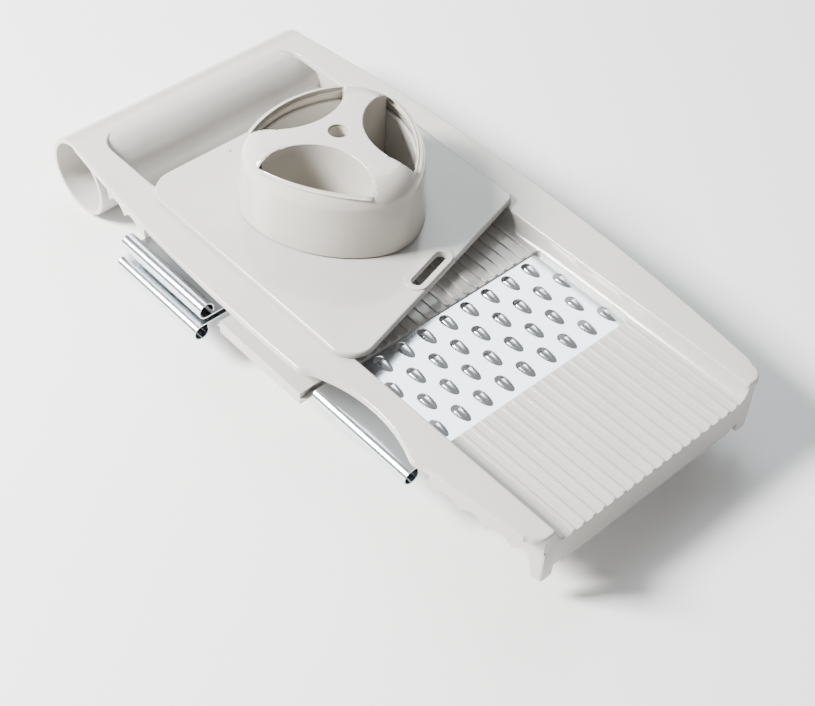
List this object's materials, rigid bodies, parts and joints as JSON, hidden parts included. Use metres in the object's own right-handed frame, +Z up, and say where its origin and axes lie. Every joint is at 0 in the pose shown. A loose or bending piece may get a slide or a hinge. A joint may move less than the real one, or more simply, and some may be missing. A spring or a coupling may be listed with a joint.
{
  "type": "mandoline slicer",
  "caption": "Kitchen mandoline slicer with a hollow handle tube, a ribbed food channel, a coarse grater in its window, stored inserts below, and a sliding hand guard with a domed pusher.",
  "frame": {"origin": "centre line of the slicer, on the surface it stands on, under the middle insert guide", "axes": "+X to the right as seen from the lower end, away from the rolled edges of the inserts; +Y along the frame towards the handle; +Z up out of the food channel"},
  "size_m": [0.1775, 0.34, 0.0855],
  "materials": {
    "frame_plastic": "glossy moulded off-white plastic, fine moulding texture below",
    "guard_plastic": "high gloss moulded off-white plastic",
    "cap_plastic": "high gloss moulded plastic, slightly warmer than the frame",
    "grater_steel": "bright rolled stainless steel sheet with pressed teeth",
    "blade_steel": "ground stainless steel"
  },
  "bodies": {
    "frame": {"left_flange": "frame_plastic", "right_flange": "frame_plastic", "left_front_skirt": "frame_plastic", "left_rear_skirt": "frame_plastic", "right_skirt": "frame_plastic", "left_channel_wall": "frame_plastic", "right_channel_wall": "frame_plastic", "outfeed_deck": "frame_plastic", "infeed_deck": "frame_plastic", "grip_bridge": "frame_plastic", "end_apron": "frame_plastic", "handle_tube": "frame_plastic", "front_guide": "frame_plastic", "middle_guide": "frame_plastic", "rear_guide": "frame_plastic", "guide_end_wall": "frame_plastic"},
    "coarse_insert": {"coarse_grater": "grater_steel"},
    "medium_insert": {"medium_grater": "grater_steel"},
    "fine_insert": {"fine_grater": "grater_steel"},
    "slicing_insert": {"cassette_body": "frame_plastic", "cassette_blade": "blade_steel", "blade_rivets": "blade_steel"},
    "guard": {"guard_plate": "guard_plastic", "guard_chimney": "guard_plastic", "guard_runners": "guard_plastic"},
    "pusher": {"pusher_cap": "cap_plastic", "pusher_core": "cap_plastic", "pusher_disc": "cap_plastic", "food_pins": "blade_steel"}
  },
  "joints": [
    {"name": "coarse_insert_draw", "type": "slide", "parent": "frame", "child": "coarse_insert", "axis": [-1, 0, 0], "range_m": [0, 0.14]},
    {"name": "medium_insert_draw", "type": "slide", "parent": "frame", "child": "medium_insert", "axis": [-1, 0, 0], "range_m": [0, 0.14]},
    {"name": "fine_insert_draw", "type": "slide", "parent": "frame", "child": "fine_insert", "axis": [-1, 0, 0], "range_m": [0, 0.14]},
    {"name": "slicing_insert_draw", "type": "slide", "parent": "frame", "child": "slicing_insert", "axis": [-1, 0, 0], "range_m": [0, 0.14]},
    {"name": "guard_slide", "type": "slide", "parent": "frame", "child": "guard", "axis": [0, -1, 0], "range_m": [-0.004, 0.165]},
    {"name": "pusher_lift", "type": "slide", "parent": "guard", "child": "pusher", "axis": [0, 0, 1], "range_m": [0, 0.045]}
  ]
}
